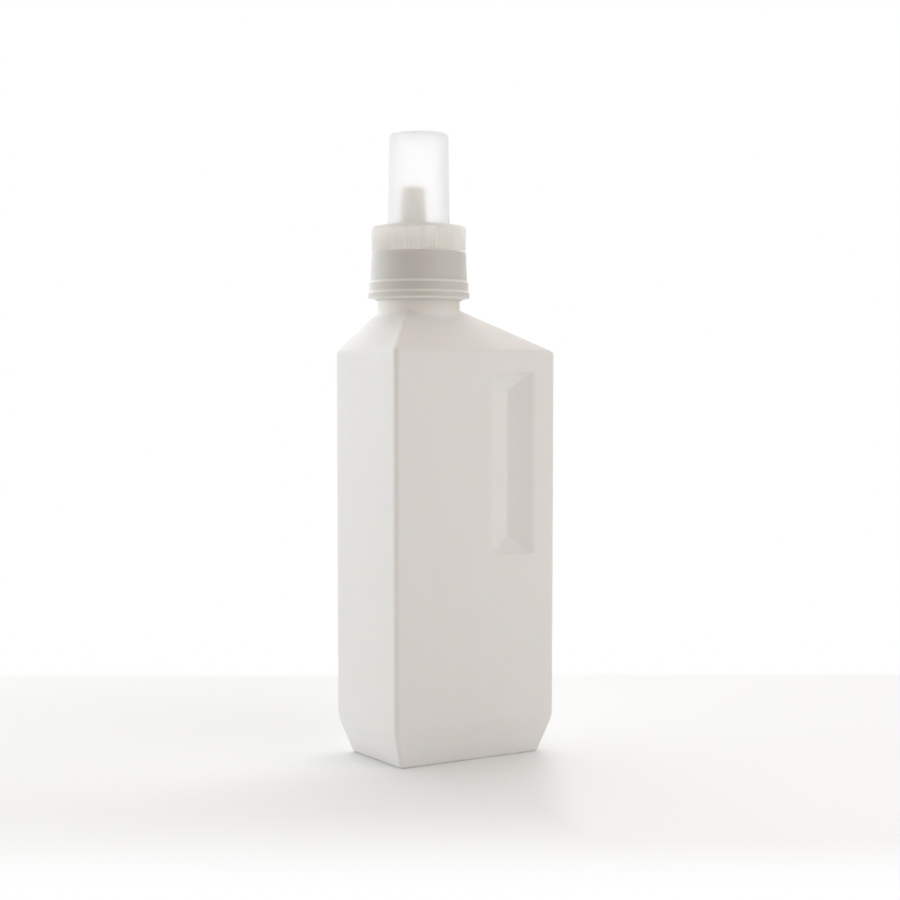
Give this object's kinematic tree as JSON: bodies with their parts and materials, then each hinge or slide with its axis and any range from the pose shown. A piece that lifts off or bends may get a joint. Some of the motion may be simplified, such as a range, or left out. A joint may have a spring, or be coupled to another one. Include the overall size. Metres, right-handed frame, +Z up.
{
  "type": "laundry detergent bottle",
  "caption": "Tall rectangular refillable detergent bottle with a faceted shoulder, an offset neck, grip recesses, a pouring-spout collar and a frosted measuring cap.",
  "frame": {"origin": "centre of the base, on the surface that the bottle stands on", "axes": "+Z up through the neck, X along the long side with the neck offset towards -X, Y across the narrow side"},
  "size_m": [0.093, 0.0596, 0.3081],
  "materials": {
    "bottle_plastic": "satin blow-moulded polyethylene, warm white, slightly translucent",
    "collar_plastic": "smooth injection-moulded polypropylene, opaque off-white",
    "frosted_plastic": "frosted translucent polypropylene"
  },
  "bodies": {
    "bottle": {"bottle": "bottle_plastic"},
    "collar": {"spout_collar": "collar_plastic"},
    "cap": {"measuring_cap": "frosted_plastic"}
  },
  "joints": [
    {"name": "collar_lift", "type": "slide", "parent": "bottle", "child": "collar", "axis": [0, 0, 1], "range_m": [0, 0.04]},
    {"name": "cap_lift", "type": "slide", "parent": "collar", "child": "cap", "axis": [0, 0, 1], "range_m": [0, 0.06]}
  ]
}
